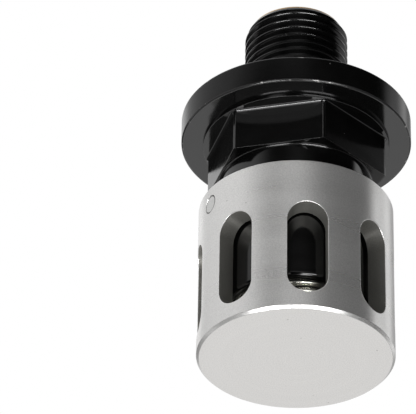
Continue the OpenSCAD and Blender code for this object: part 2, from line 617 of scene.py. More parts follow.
@dataclass(frozen=True)
class TurnedMetal(Finish):
    """Bare metal with turning lines, lightened worn edges and a few specks; a worn factor below 1 darkens the
    edges instead, as painted shade.
    """

    colour: Colour
    rough: float
    lines: float = 4000.0
    contrast: float = 0.08
    relief: float = 0.04
    # Tone of the marked edges against the colour; below 1, as on the pin, it is painted shade.
    worn: float = 1.25
    metallic: float = 0.75
    dust: Colour = (0.2, 0.19, 0.18)

    def shade(self, sheet: Sheet, place: Socket) -> Socket:
        """Varies colour, roughness and relief with the turning lines and a fine grain.

        Args:
            sheet: Sheet of the material's tree.
            place: Object coordinates.

        Returns:
            The shader's output.
        """
        turning = TurningLines.use(sheet, Place=place, Lines=self.lines)
        grain = sheet.noise(place, 5200.0, 2.0, 0.7)
        both = sheet.math("ADD", sheet.times(turning["Lines"], 0.08), sheet.times(grain, 0.92))
        dark, light = (tone(self.colour, 1 + side * self.contrast) for side in (-1, 1))
        base = sheet.blend(sheet.spread(both, MIDDLE), dark, light)
        mark = sheet.add("Attribute", attribute_name="edge").outputs["Fac"]
        wear = EdgeWearAndShade.use(sheet, Place=place, Mark=mark, Share=0.9)["Mask"]
        # Marked edges take their own tone: lighter rubbed metal, or on the pin a painted shade.
        base = sheet.blend(wear, base, tone(self.colour, self.worn))
        specks = Specks.use(sheet, Place=place, Scale=700.0, Share=0.06)["Mask"]
        feeds = {
            "Base Color": sheet.blend(sheet.times(specks, 0.5), base, tone(self.dust)),
            "Metallic": self.metallic,
            "Roughness": sheet.spread(turning["Bands"], MIDDLE, (self.rough * 0.9, self.rough * 1.12)),
            "Normal": sheet.relief(self.relief, grain),
        }
        return sheet.add("BsdfPrincipled", feeds).outputs[0]


@dataclass(frozen=True)
class BlackAnodised(Finish):
    """Black anodised metal with cloudy dye. Its edges may be rubbed, or shine where sheen is set."""

    rough: float
    specular: float
    tint: Colour = (0.002, 0.002, 0.002)
    lines: float = 2600.0
    relief: float = 0.03
    wear: float = 0.35
    sheen: float = 0.0
    bare: Colour = (0.42, 0.41, 0.40)
    dust: Colour = (0.35, 0.34, 0.33)

    def shade(self, sheet: Sheet, place: Socket) -> Socket:
        """Lays turning lines, cloudy dye and rubbed edges over the black.

        Args:
            sheet: Sheet of the material's tree.
            place: Object coordinates.

        Returns:
            The shader's output.
        """
        turning = TurningLines.use(sheet, Place=place, Lines=self.lines)
        cloud = sheet.noise(place, 140.0, 3.0, 0.55)
        base = sheet.blend(sheet.spread(cloud, (0.35, 0.7)), tone(self.tint), tone(self.tint, 1.9))
        mark = sheet.add("Attribute", attribute_name="edge").outputs["Fac"]
        wear = EdgeWearAndShade.use(sheet, Place=place, Mark=mark, Share=self.wear)["Mask"]
        base = sheet.blend(sheet.times(mark, 0.9), base, tone((self.sheen,) * 3))
        base = sheet.blend(wear, base, tone(self.bare))
        shine = sheet.times(mark, 0.9 if self.sheen else 0.0)
        specks = Specks.use(sheet, Place=place, Scale=900.0, Share=0.03)["Mask"]
        both = sheet.math("ADD", turning["Lines"], sheet.times(cloud, 0.5))
        feeds = {
            "Base Color": sheet.blend(sheet.times(specks, 0.35), base, tone(self.dust)),
            "Metallic": sheet.math("MAXIMUM", sheet.times(wear, 0.8), shine),
            "Roughness": sheet.spread(turning["Bands"], MIDDLE, (self.rough * 0.85, self.rough * 1.2)),
            "Specular IOR Level": self.specular,
            "Normal": sheet.relief(self.relief, both),
        }
        return sheet.add("BsdfPrincipled", feeds).outputs[0]


@dataclass(frozen=True)
class Rubber(Finish):
    """Matt black rubber with a fine moulded skin."""

    tint: Colour = (0.022, 0.021, 0.021)

    def shade(self, sheet: Sheet, place: Socket) -> Socket:
        """Gives the skin a fine grain and a little bloom.

        Args:
            sheet: Sheet of the material's tree.
            place: Object coordinates.

        Returns:
            The shader's output.
        """
        grain = sheet.noise(place, 4200.0, 4.0, 0.6)
        bloom = sheet.spread(sheet.noise(place, 320.0, 2.0), (0.4, 0.75))
        feeds = {
            "Base Color": sheet.blend(bloom, tone(self.tint), tone(self.tint, 2.2)),
            "Roughness": sheet.spread(grain, MIDDLE, (0.62, 0.8)),
            "Normal": sheet.relief(0.25, grain, 0.0001),
        }
        return sheet.add("BsdfPrincipled", feeds).outputs[0]


class Finishes:
    """The finishes of all pieces."""

    CAP_WALL = TurnedMetal("turned_aluminium_wall", (0.68, 0.675, 0.665), 0.28, 1600.0, 0.14, 0.03)
    CAP_END = TurnedMetal("turned_aluminium_end", (0.68, 0.67, 0.655), 0.32, 1600.0, 0.14, 0.02)
    # Slots, bore and inner floor: darker than the outer wall, partly the milled metal's own duller tone and
    # partly painted shade inside the recesses.
    CAP_CUT_SHADED = TurnedMetal("milled_slot_wall_painted_shade", (0.28, 0.275, 0.255), 0.46, 1500.0, 0.15, worn=1.8)
    BODY_TURNED = BlackAnodised("black_anodised_turned", 0.18, 0.22, sheen=0.07)
    BODY_MILLED = BlackAnodised("black_anodised_milled", 0.12, 0.7, relief=0.015, sheen=0.12)
    BODY_THREAD = BlackAnodised("black_anodised_thread", 0.15, 0.7, wear=0.12, sheen=0.1)
    BODY_LEAD = TurnedMetal("bronzed_lead_edge", (0.6, 0.4, 0.18), 0.35, contrast=0.2, metallic=0.95)
    PISTON = BlackAnodised("black_piston_gloss", 0.12, 0.6, relief=0.01, wear=0.0)
    # The pin's rounded rims darken to 0.15 of its colour: painted shade of the gap round the pin in its hole.
    PIN = TurnedMetal("pin_ground", (0.6, 0.6, 0.59), 0.3, contrast=0.1, worn=0.15)
    SPRING = TurnedMetal("spring_wire", (0.97, 0.94, 0.86), 0.2, 9000.0, metallic=0.95)
    WASHER = TurnedMetal("washer_satin", (0.33, 0.33, 0.33), 0.42, contrast=0.07, worn=1.6)
    SEAL = Rubber("seal_rubber")


class Body(Enum):
    """The two bodies that the pieces ride on."""

    PLUG = "plug"
    PISTON = "piston"


class Piece:
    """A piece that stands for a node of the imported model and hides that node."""

    node: ClassVar[str]
    slot: ClassVar[str]
    body: ClassVar[Body] = Body.PLUG

    @classmethod
    def from_frame(cls) -> "Piece":
        """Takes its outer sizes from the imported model, where it needs any."""
        return cls()

    def build(self) -> bpy.types.Object:
        """Builds the piece's mesh and dresses it."""
        raise NotImplementedError

    def settle(
        self,
        form: Form,
        finishes: Sequence[Finish],
        choose: Callable[[Face], int] | None = None,
        weighted: bool = True,
    ) -> bpy.types.Object:
        """Turns a form into the finished piece, which rides on its body.

        Args:
            form: The form, in millimetres.
            finishes: Finishes of the piece.
            choose: Gives the number of a face's finish. The first one is used if this is left out.
            weighted: Whether large faces lead the shading over the roundings, which end crisply otherwise.

        Returns:
            The piece.
        """
        form.weld()
        for face in form.bm.faces:
            face.smooth = True
            face.material_index = choose(face) if choose else 0
        for edge in form.bm.edges:
            same = len({face[form.mark] > 0 for face in edge.link_faces}) < 2
            edge.smooth = edge.calc_face_angle(0.0) < SHARP and (weighted or same)
        form.move(Matrix.Scale(MM, 4))
        piece = form.as_object(f"{self.node}_piece")
        form.bm.free()
        for finish in finishes:
            piece.data.materials.append(finish.material())
        if weighted:
            piece.modifiers.new("shading", "WEIGHTED_NORMAL").keep_sharp = True
        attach(piece, self.body.value)
        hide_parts(self.node)
        return piece


@dataclass(frozen=True)
class PinHole:
    """The lock pin's hole, which goes through the cap's wall into the neck."""

    angle: float = -67.5
    z: float = 25.3
    r: float = 1.58
    steps: int = 48

    @property
    def lay(self) -> Matrix:
        """Lays a form that was made along the axis into the hole."""
        across = Matrix.Translation((0, 0, self.z)) @ UPRIGHT
        return Matrix.Rotation(math.radians(self.angle), 4, "Z") @ across

    def tool(self, start: float, profile: Iterable[Point]) -> Form:
        """Makes the form that the hole takes away.

        Args:
            start: How far from the axis the hole ends.
            profile: Further radii and distances from the axis, outwards.

        Returns:
            The form.
        """
        form = Form()
        form.solid([(self.r, start), *profile], self.steps)
        form.move(self.lay)
        return form


@dataclass
class PlugBody(Piece):
    """The black body: seat, neck, hexagon, collar, flange and threaded spigot round one passage."""

    node, slot = "plug_body", "black_anodised"
    seat_z: float
    top_z: float
    flange_r: float
    flange_top: float
    cap_top: float
    passage_r: float = 5.25
    seat_r: float = 7.0
    neck_end: float = 23.2
    neck_r: float = 12.96
    neck_lead: float = 0.6
    root_round: float = 0.34
    root_gap: float = 0.04
    hex_z: float = 34.35
    hex_af: float = 27.0
    hex_turn: float = 10.7
    land_cut: float = 0.24
    flat_round: float = 0.45
    low_round: float = 0.07
    corner_round: float = 0.05
    corner_angle: float = math.radians(20)
    collar_z: float = 41.95
    collar_r: float = 16.018
    flange_z: float = 42.55
    flange_round: float = 0.34
    small_round: float = 0.06
    rim_worn: float = 0.6
    relief_r: float = 7.9
    relief_w: float = 2.4
    thread_r: float = 8.94
    root_r: float = 8.08
    pitch: float = 1.5
    crest_edge: float = 0.07
    flank_cuts: int = 4
    phase: float = 0.3
    run_out: float = 0.1
    tip_r: float = 7.85
    lead_slope: float = 0.605
    lead_shown: float = 0.4
    lead_inset: float = 0.07
    mouth_edge: float = 0.5
    bore_inset: float = 0.1
    hole: PinHole = PinHole()
    hole_end: float = 10.36

    @classmethod
    def from_frame(cls) -> "PlugBody":
        """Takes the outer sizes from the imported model."""
        low, high = box_mm(cls.node)
        return cls(low.z, high.z, high.x, box_mm("sealing_washer")[0].z, box_mm("slotted_cap")[1].z)

    def envelope(self, z: float) -> float:
        """Radius that the turned blank of the thread leaves at a height.

        Args:
            z: The height.

        Returns:
            The radius.
        """
        lower = self.relief_r + (z - self.flange_top - self.relief_w)
        upper = self.tip_r + (self.top_z - z) * self.lead_slope
        return min(self.thread_r, max(self.relief_r, lower), upper)

    def hexagon(self, form: Form) -> Ring:
        """Draws the hexagon's lower outline, with a flat land on each corner.

        Args:
            form: Form to draw in.

        Returns:
            The outline, with as many edges as a turned ring.
        """
        turn = Matrix.Rotation(math.radians(self.hex_turn), 4, "Z")
        plate = form.circle(self.hex_af / math.sqrt(3), self.hex_z, 6, turn)
        form.fill(plate)
        bmesh.ops.bevel(
            form.bm,
            geom=list(ends(plate)),
            offset=self.land_cut,
            affect="VERTICES",
            segments=1,
            profile=0.5,
            material=-1,
        )
        face = next(face for face in form.bm.faces if len(face.verts) == 12)
        ring = list(face.edges)
        bmesh.ops.delete(form.bm, geom=[face], context="FACES_ONLY")
        lands = [edge for edge in ring if edge.calc_length() < 2 * self.land_cut]
        flats = [edge for edge in ring if edge not in lands]
        for group, cuts in ((lands, 1), (flats, STEPS // 6 - 3)):
            ring += form.divide(group, cuts)
        return list(set(ring))

    def thread(self, form: Form) -> tuple[Ring, ...]:
        """Cuts the right-handed thread between the relief and the spigot's end.

        Args:
            form: An empty form.

        Returns:
            The open rings at its lower and upper end.
        """
        flank = (self.thread_r - self.root_r) * FLANK
        crest = self.pitch / 8
        root = (self.pitch - crest - 2 * flank) / 2
        start_z = self.flange_top - self.pitch + self.phase
        corners = [
            (self.root_r, 0.0),
            (self.root_r, root),
            (self.thread_r - self.crest_edge, root + flank - self.crest_edge * FLANK),
            (self.thread_r, root + flank + self.crest_edge / 2),
            (self.thread_r, root + flank + crest),
            (self.root_r, root + 2 * flank + crest),
            (self.root_r, self.pitch),
        ]
        verts = [form.bm.verts.new((r, 0, start_z + z)) for r, z in corners]
        edges = [form.bm.edges.new(pair) for pair in zip(verts, verts[1:])]
        form.divide([edges[1], edges[4]], self.flank_cuts)
        form.wind(form.parts, 1, self.pitch, STEPS)
        number = math.ceil((self.top_z - start_z) / self.pitch)
        form.repeat([Matrix.Translation((0, 0, (n + 1) * self.pitch)) for n in range(number)], WELD)
        for vert in form.bm.verts:
            over = vert.co.xy.length / self.envelope(vert.co.z)
            if over > 1:
                vert.co.xy /= over
        low = self.flange_top + self.relief_w + self.run_out
        high = self.top_z - self.run_out
        form.cut(low, keep_above=True)
        form.cut(high, keep_above=False)
        return form.open_at(low), form.open_at(high)

    def build(self) -> bpy.types.Object:
        """Builds the body as one skin.

        Returns:
            The finished piece.
        """
        form = Form()
        thread_low, thread_high = self.thread(form)
        neck = form.turn(
            form.circle(self.passage_r, self.seat_z),
            [
                (self.seat_r, self.seat_z),
                (self.seat_r, self.neck_end),
                (self.neck_r - self.neck_lead, self.neck_end),
                (self.neck_r, self.neck_end + self.neck_lead),
                (self.neck_r, self.cap_top),
                (self.neck_r, self.hex_z),
                (self.neck_r + self.root_round + self.root_gap, self.hex_z),
            ],
        )
        hexagon = self.hexagon(form)
        form.bridge(neck, hexagon)
        rise = Vector((0, 0, self.collar_z - self.hex_z))
        flats_top = form.pull(hexagon, lambda co: co + rise)
        collar = form.circle(self.collar_r, self.collar_z)
        form.bridge(flats_top, collar)
        flange = form.turn(
            collar,
            [
                (self.collar_r, self.flange_z),
                (self.flange_r, self.flange_z),
                (self.flange_r, self.flange_top),
                (self.relief_r, self.flange_top),
                (self.relief_r, self.flange_top + self.relief_w),
            ],
        )
        form.bridge(flange, thread_low)
        spigot = form.circle(self.tip_r, self.top_z)
        form.bridge(thread_high, spigot)
        form.turn(
            spigot,
            [
                (self.passage_r + self.mouth_edge, self.top_z),
                (self.passage_r, self.top_z - self.mouth_edge),
                (self.passage_r, self.seat_z),
            ],
        )
        form.merge()
        self.soften(form)
        form.drill(self.hole.tool(self.hole_end, [(self.hole.r, self.neck_r + 1)]))
        finishes = (Finishes.BODY_TURNED, Finishes.BODY_MILLED, Finishes.BODY_THREAD, Finishes.BODY_LEAD)
        return self.settle(form, finishes, self.choose)

    def soften(self, form: Form) -> None:
        """Rounds the edges of the welded skin.

        Args:
            form: The body's form.
        """
        form.round_ring(self.neck_r, self.hex_z, self.root_round, 4, 0.0)
        form.round_off(self.hexagon_rim(form, self.collar_z), self.flat_round, 4, 0.0)
        form.round_off(self.hexagon_rim(form, self.hex_z), self.low_round, 2)
        form.round_off([edge for edge in form.bm.edges if self.is_corner(edge)], self.corner_round, 2)
        for r, z, width, segments in (
            (self.collar_r, self.collar_z, self.small_round, 2),
            (self.flange_r, self.flange_z, self.flange_round, 5),
            (self.flange_r, self.flange_top, self.flange_round, 5),
            (self.passage_r + self.mouth_edge, self.top_z, self.small_round, 2),
            (self.tip_r, self.top_z, self.small_round, 2),
        ):
            form.round_ring(r, z, width, segments, self.rim_worn)

    def hexagon_rim(self, form: Form, z: float) -> Ring:
        """Edges at a height between the hexagon's flats and a level face.

        Args:
            form: The body's form.
            z: Height of the edges.

        Returns:
            The edges.
        """
        low, high = self.hex_af / 2 - 2 * SLACK, self.hex_af / math.sqrt(3) + SLACK
        near = form.edges_where(lambda co: abs(co.z - z) < WELD and low < co.xy.length < high)
        ups = {edge: sorted(abs(face.normal.z) for face in edge.link_faces) for edge in near}
        return [edge for edge, up in ups.items() if len(up) == 2 and up[0] < 0.1 and up[1] > 0.9]

    def is_corner(self, edge: Edge) -> bool:
        """Whether an edge runs up a corner of the hexagon.

        Args:
            edge: Edge of the body's form.

        Returns:
            True if it does.
        """
        low, high = sorted(vert.co.z for vert in edge.verts)
        tall = high - low > (self.collar_z - self.hex_z) / 2
        inside = low > self.hex_z - SLACK and high < self.collar_z + SLACK
        return tall and inside and edge.calc_face_angle(0.0) > self.corner_angle

    def choose(self, face: Face) -> int:
        """Number of a face's finish: 0 turned, 1 milled, 2 thread, 3 lead.

        Args:
            face: Face of the body's form.

        Returns:
            The number.
        """
        centre = face.calc_center_median()
        r = centre.xy.length
        if centre.z > self.top_z - self.lead_shown and r > self.tip_r - self.lead_inset:
            return 3
        if centre.z > self.flange_top + SLACK and r > self.passage_r + self.bore_inset:
            return 2
        return 1 if self.cap_top < centre.z < self.flange_z + SLACK else 0


@dataclass
class SlottedCap(Piece):
    """The bright cap: a cup with a row of slots with round ends, and the hole of the lock pin."""

    node, slot = "slotted_cap", "turned_aluminium"
    cap_r: float
    cap_h: float
    floor_t: float
    bore_r: float = 13.0
    foot_edge: float = 0.45
    rim_edge: float = 0.3
    ring_round: float = 0.05
    slot_count: int = 8
    slot_w: float = 6.8
    slot_low: float = 3.1
    slot_top: float = 20.55
    slot_round: float = 0.09
    slot_rim_angle: float = math.radians(45)
    arc_steps: int = 24
    side_steps: int = 12
    wall_cuts: int = 5
    sag: float = 0.3
    wall_depth: float = 0.13
    hole: PinHole = PinHole()
    hole_edge: float = 0.12
    hole_edge_depth: float = 0.22
    hole_edge_run: float = 0.3

    @classmethod
    def from_frame(cls) -> "SlottedCap":
        """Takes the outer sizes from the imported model."""
        high = box_mm(cls.node)[1]
        return cls(high.x, high.z, box_mm("return_spring")[0].z)

    def slot_outline(self, form: Form) -> Ring:
        """Draws the outline of the first slot on the outer wall.

        Args:
            form: Form to draw in.

        Returns:
            The outline's edges.
        """
        steps = 2 * self.arc_steps
        reach = (self.slot_top - self.slot_low - self.slot_w) / 2
        half_step = Matrix.Rotation(math.pi / steps, 4, "Z")
        ring = form.circle(self.slot_w / 2, 0, steps, UPRIGHT @ half_step)
        for vert in ends(ring):
            vert.co.z += math.copysign(reach, vert.co.z)
        sides = [edge for edge in ring if edge.calc_length() > 2]
        ring = list({*ring, *form.divide(sides, self.side_steps - 1)})
        middle = Vector((0, 0, (self.slot_top + self.slot_low) / 2))
        for vert in ends(ring):
            vert.co = on_wall(vert.co + middle, self.cap_r)
        return ring

    def panel_edge(self, co: Vector, r: float, low: float, high: float) -> Vector:
        """Where a point of the slot's outline lies on the outline of its panel.

        Args:
            co: The point on the slot's outline.
            r: Radius of the wall.
            low: Height of the panel's lower end.
            high: Height of the panel's upper end.

        Returns:
            The point on the panel's outline.
        """
        half = r * math.sin(math.pi / self.slot_count)
        arc_r = self.slot_w / 2
        arc_top, arc_low = self.slot_top - arc_r, self.slot_low + arc_r
        first = math.pi / (2 * self.arc_steps)
        lift = math.sin(first) * arc_r
        if arc_low - lift < co.z < arc_top + lift:
            share = (co.z - arc_low + lift) / (arc_top - arc_low + 2 * lift)
            return on_wall(Vector((math.copysign(half, co.x), 0, low + share * (high - low))), r)
        upper = co.z > arc_low
        centre = arc_top if upper else arc_low
        swing = math.atan2(co.x, abs(co.z - centre)) / (math.pi / 2 - first)
        return on_wall(Vector((half * max(-1.0, min(1.0, swing)), 0, high if upper else low)), r)

    def panel(self, form: Form, top: float) -> None:
        """Makes one panel of the wall with its slot: outer skin, slot wall and inner skin.

        Args:
            form: An empty form.
            top: Height of the panel's upper end.
        """
        outer = self.slot_outline(form)
        inner = form.pull(outer, lambda co: on_wall(co, self.bore_r))
        for r, low, ring in ((self.cap_r, self.foot_edge, outer), (self.bore_r, self.floor_t, inner)):
            rim = ends(ring)
            form.pull(ring, lambda co: self.panel_edge(co, r, low, top))
            skin = form.edges_where(lambda co: abs(co.xy.length - r) < WELD)
            spokes = [edge for edge in skin if len(rim.intersection(edge.verts)) == 1]
            bmesh.ops.subdivide_edges(form.bm, edges=spokes, cuts=self.wall_cuts, use_grid_fill=True)
        for vert in form.bm.verts:
            for r in (self.cap_r, self.bore_r):
                if abs(vert.co.xy.length - r) < self.sag:
                    vert.co = on_wall(vert.co, r)

    def build(self) -> bpy.types.Object:
        """Builds the cap from one panel that is repeated round the axis.

        Returns:
            The finished piece.
        """
        form = Form()
        top = self.cap_h - self.rim_edge
        self.panel(form, top)
        outer = form.edges_where(lambda co: co.xy.length > (self.bore_r + self.cap_r) / 2)
        rim_edges = [edge for edge in outer if edge.calc_face_angle(0.0) > self.slot_rim_angle]
        form.round_off(rim_edges, self.slot_round)
        step = math.tau / self.slot_count
        form.repeat([Matrix.Rotation(step * number, 4, "Z") for number in range(1, self.slot_count)], NEAR)
        foot_r, rim_r = self.cap_r - self.foot_edge, self.cap_r - self.rim_edge
        form.fill(form.turn(form.ring_at(self.cap_r, self.foot_edge), [(foot_r, 0)]))
        rim = [(rim_r, self.cap_h), (self.bore_r + self.rim_edge, self.cap_h), (self.bore_r, top)]
        form.turn(form.ring_at(self.cap_r, top), rim)
        form.fill(form.ring_at(self.bore_r, self.floor_t))
        form.merge(NEAR)
        for r, z in ((foot_r, 0), (self.cap_r, self.foot_edge), (self.cap_r, top), (rim_r, self.cap_h)):
            form.round_ring(r, z, self.ring_round, 2, 0.05)
        form.drill(self.pin_tool())
        finishes = (Finishes.CAP_WALL, Finishes.CAP_END, Finishes.CAP_CUT_SHADED)
        return self.settle(form, finishes, self.choose, weighted=False)

    def pin_tool(self) -> Form:
        """The hole of the lock pin with its small chamfer, as a form to take away."""
        out, wide = self.cap_r - self.hole_edge_depth, self.hole.r + self.hole_edge
        flare = [(self.hole.r, out), (wide, out + self.hole_edge_run), (wide, out + 1)]
        return self.hole.tool(self.bore_r - 1, flare)

    def choose(self, face: Face) -> int:
        """Number of a face's finish: 0 outer wall, 1 end face, 2 slots and bore, whose darker colour is
        partly painted shade.

        Args:
            face: Face of the cap's form.

        Returns:
            The number.
        """
        centre = face.calc_center_median()
        if centre.z < WELD:
            return 1
        outside = centre.xy.length > self.cap_r - self.wall_depth
        low, high = self.foot_edge + self.ring_round, self.cap_h - self.rim_edge - self.ring_round
        return 0 if outside or centre.z < low or centre.z > high else 2


@dataclass
class LockPin(Piece):
    """The small pin that locks the cap on the neck."""

    node, slot = "lock_pin", "pin_steel"
    hole: PinHole = PinHole()
    r: float = 1.55
    inner_end: float = 10.56
    outer_end: float = 16.42
    round: float = 0.14
    steps: int = 64

    def build(self) -> bpy.types.Object:
        """Builds the pin along the axis, then lays it into its hole.

        Returns:
            The finished piece.
        """
        form = Form()
        form.solid([(self.r, self.inner_end), (self.r, self.outer_end)], self.steps)
        for z in (self.inner_end, self.outer_end):
            form.round_ring(self.r, z, self.round)
        form.move(self.hole.lay)
        return self.settle(form, (Finishes.PIN,))


@dataclass
class ValvePiston(Piece):
    """The glossy black cup that closes the passage."""

    node, slot, body = "valve_piston", "black_piston", Body.PISTON
    land_r: float
    lip_z: float
    head_z: float
    pocket_z: float
    land_h: float = 1.2
    step_h: float = 0.08
    skirt_r: float = 12.55
    pocket_r: float = 11.05
    recess_r: float = 8.54
    recess_z: float = 20.6
    lip_edge: float = 0.4
    outer_lip_round: float = 0.3
    lower_lip_round: float = 0.18
    pocket_lip_round: float = 0.2
    pocket_top_round: float = 0.4
    head_round: float = 0.3
    land_round: float = 0.08

    @classmethod
    def from_frame(cls) -> "ValvePiston":
        """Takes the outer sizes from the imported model."""
        low, high = box_mm(cls.node)
        return cls(high.x, low.z, high.z, box_mm("return_spring")[1].z)

    def build(self) -> bpy.types.Object:
        """Builds the piston as one turned skin.

        Returns:
            The finished piece.
        """
        form = Form()
        land_low = self.head_z - self.land_h
        lip_r, lip_top = self.skirt_r - self.lip_edge, self.lip_z + self.lip_edge
        form.solid(
            [
                (self.recess_r, self.recess_z),
                (self.recess_r, self.head_z),
                (self.land_r, self.head_z),
                (self.land_r, land_low),
                (self.skirt_r, land_low - self.step_h),
                (self.skirt_r, lip_top),
                (lip_r, self.lip_z),
                (self.pocket_r, self.lip_z),
                (self.pocket_r, self.pocket_z),
            ]
        )
        form.round_ring(self.skirt_r, lip_top, self.outer_lip_round, 6, 0.0)
        form.round_ring(lip_r, self.lip_z, self.lower_lip_round, 4, 0.0)
        form.round_ring(self.pocket_r, self.lip_z, self.pocket_lip_round, 3, 0.0)
        form.round_ring(self.land_r, self.head_z, self.head_round, 3, 0.3)
        form.round_ring(self.land_r, land_low, self.land_round, 2, 0.3)
        form.round_ring(self.pocket_r, self.pocket_z, self.pocket_top_round, 3, 0.0)
        return self.settle(form, (Finishes.PISTON,))


@dataclass
class SealDisc(Piece):
    """The soft disc in the piston's head."""

    node, slot, body = "seal_disc", "seal_rubber", Body.PISTON
    r: float
    low: float
    high: float
    round: float = 0.2

    @classmethod
    def from_frame(cls) -> "SealDisc":
        """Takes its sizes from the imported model."""
        low, high = box_mm(cls.node)
        return cls(high.x, low.z, high.z)

    def build(self) -> bpy.types.Object:
        """Builds the disc with rounded rims.

        Returns:
            The finished piece.
        """
        form = Form()
        form.solid([(self.r, self.low), (self.r, self.high)])
        for z in (self.low, self.high):
            form.round_ring(self.r, z, self.round, 3, 0.0)
        return self.settle(form, (Finishes.SEAL,))


@dataclass
class ReturnSpring(Piece):
    """The coil spring under the piston, with ground ends."""

    node, slot = "return_spring", "spring_steel"
    low: float
    high: float
    wire_r: float = 0.6
    coil_r: float = 10.1
    start_angle: float = 192.0
    end_cut: float = 0.18
    foot_turns: float = 3.5
    foot_pitch: float = 1.65
    open_turns: float = 3.0
    top_pitch: float = 1.3125
    wire_sides: int = 20
    turn_steps: int = 72

    @classmethod
    def from_frame(cls) -> "ReturnSpring":
        """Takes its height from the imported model."""
        low, high = box_mm(cls.node)
        return cls(low.z, high.z)

    def build(self) -> bpy.types.Object:
        """Winds the wire in three stretches and grinds both ends.

        Returns:
            The finished piece.
        """
        form = Form()
        start_z = self.low + self.end_cut
        rest = self.high - self.end_cut - start_z - self.foot_turns * self.foot_pitch - self.top_pitch
        out = Matrix.Translation((0, -self.coil_r, 0)) @ Matrix.Rotation(math.pi / 2, 4, "Y")
        turn = Matrix.Rotation(math.radians(self.start_angle), 4, "Z") @ out
        wire = form.circle(self.wire_r, start_z, self.wire_sides, turn)
        form.fill(wire)
        end = [*ends(wire), *wire]
        for turns, pitch in (
            (self.foot_turns, self.foot_pitch),
            (self.open_turns, rest / self.open_turns),
            (1.0, self.top_pitch),
        ):
            end = form.wind(end, turns, pitch, round(turns * self.turn_steps))
        form.fill(only(Edge, end))
        for height, keep_above in ((self.low, True), (self.high, False)):
            bmesh.ops.holes_fill(form.bm, edges=form.cut(height, keep_above), sides=0)
        piece = self.settle(form, (Finishes.SPRING,), weighted=False)
        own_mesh(piece)
        return piece


@dataclass
class SealingWasher(Piece):
    """The flat washer on the flange."""

    node, slot = "sealing_washer", "washer_aluminium"
    outer_r: float
    low: float
    high: float
    inner_r: float = 9.2
    round: float = 0.2

    @classmethod
    def from_frame(cls) -> "SealingWasher":
        """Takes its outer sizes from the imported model."""
        low, high = box_mm(cls.node)
        return cls(high.x, low.z, high.z)

    def build(self) -> bpy.types.Object:
        """Builds the ring with rounded edges.

        Returns:
            The finished piece.
        """
        form = Form()
        corners = [(self.inner_r, self.low), (self.outer_r, self.low)]
        corners += [(self.outer_r, self.high), (self.inner_r, self.high)]
        form.turn(form.circle(*corners[0]), corners[1:] + corners[:1])
        form.merge(WELD)
        for r, z in corners:
            form.round_ring(r, z, self.round, 3, 0.8)
        return self.settle(form, (Finishes.WASHER,))


@dataclass(frozen=True)
class Viewpoint:
    """Camera of the photograph: a long lens below the plug that looks up at it."""

    aim_z: float = 20.0
    aim_pixel: Point = (295.92, 257.25)
    frame_px: Point = (416.0, 414.0)
    focal_px: float = 3496.6
    distance: float = 588.9
    azimuth: float = -6.9
    elevation: float = -32.49
    roll: float = 0.12
    sensor: float = 36.0

    def place(self) -> None:
        """Makes the camera and turns it until the aim lies at its pixel."""
        back = heading(self.azimuth, self.elevation)
        data = bpy.data.cameras.new("photo_camera")
        data.sensor_width = self.sensor
        data.lens = self.focal_px * self.sensor / self.frame_px[0]
        data.clip_start, data.clip_end = 0.01, 20.0
        camera = add_object("photo_camera", data)
        offs = [math.atan((at - size / 2) / self.focal_px) for at, size in zip(self.aim_pixel, self.frame_px)]
        look = back.to_track_quat("Z", "Y").to_matrix().to_4x4()
        tilt = Matrix.Rotation(math.radians(self.roll), 4, "Z")
        nudge = tilt @ Matrix.Rotation(offs[0], 4, "Y") @ Matrix.Rotation(offs[1], 4, "X")
        spot = (Vector((0, 0, self.aim_z)) + back * self.distance) * MM
        camera.matrix_world = Matrix.Translation(spot) @ look @ nudge
        bpy.context.scene.camera = camera


class Lights(Enum):
    """What a lamp lights, as the kind of rays that it is hidden from."""

    GLOSS = "diffuse"
    MATT = "glossy"


@dataclass(frozen=True)
class Softbox:
    """A soft lamp that faces the plug, sized by the angles that it fills.

    Its azimuth is counted from the camera's, towards the right.
    """

    name: str
    azimuth: float
    elevation: float
    wide: float
    tall: float
    radiance: float
    lights: Lights
    distance: float = 0.5
    centre_z: float = 0.03

    def place(self, camera_azimuth: float) -> None:
        """Makes the lamp, unseen by the camera.

        Args:
            camera_azimuth: Azimuth of the camera in degrees.
        """
        away = heading(self.azimuth + camera_azimuth, self.elevation)
        data = bpy.data.lights.new(self.name, "AREA")
        data.shape = "RECTANGLE"
        halves = (math.radians(angle / 2) for angle in (self.wide, self.tall))
        data.size, data.size_y = (2 * self.distance * math.tan(half) for half in halves)
        data.energy = self.radiance * math.pi * data.size * data.size_y
        lamp = add_object(self.name, data)
        spot = Vector((0, 0, self.centre_z)) + away * self.distance
        lamp.matrix_world = Matrix.Translation(spot) @ away.to_track_quat("Z", "Y").to_matrix().to_4x4()
        hide_from(lamp, "camera", self.lights.value)


@dataclass(frozen=True)
class PaleFloor(Finish):
    """Pale floor, seen only from above, that fades into the white round it."""

    shade_of_white: float = 0.96
    fade: Point = (0.1, 0.42)

    def shade(self, sheet: Sheet, place: Socket) -> Socket:
        """Shows the floor to camera rays from above and to nothing else.

        Args:
            sheet: Sheet of the material's tree.
            place: Object coordinates.

        Returns:
            The shader's output.
        """
        low, high = (tone((self.shade_of_white,) * 3, side) for side in (0.99, 1.01))
        white = sheet.blend(sheet.noise(place, 40.0, 2.0), low, high)
        matt = sheet.add("BsdfDiffuse", {"Color": white}).outputs[0]
        clear = sheet.add("BsdfTransparent").outputs[0]
        reach = sheet.add("VectorMath", {0: place}, operation="LENGTH").outputs["Value"]
        near = sheet.spread(reach, self.fade, (1.0, 0.0), smooth=True)
        camera = sheet.add("LightPath").outputs["Is Camera Ray"]
        under = sheet.add("NewGeometry").outputs["Backfacing"]
        seen = sheet.times(camera, sheet.math("SUBTRACT", 1.0, under))
        return sheet.add("MixShader", {0: sheet.times(seen, near), 1: clear, 2: matt}).outputs[0]


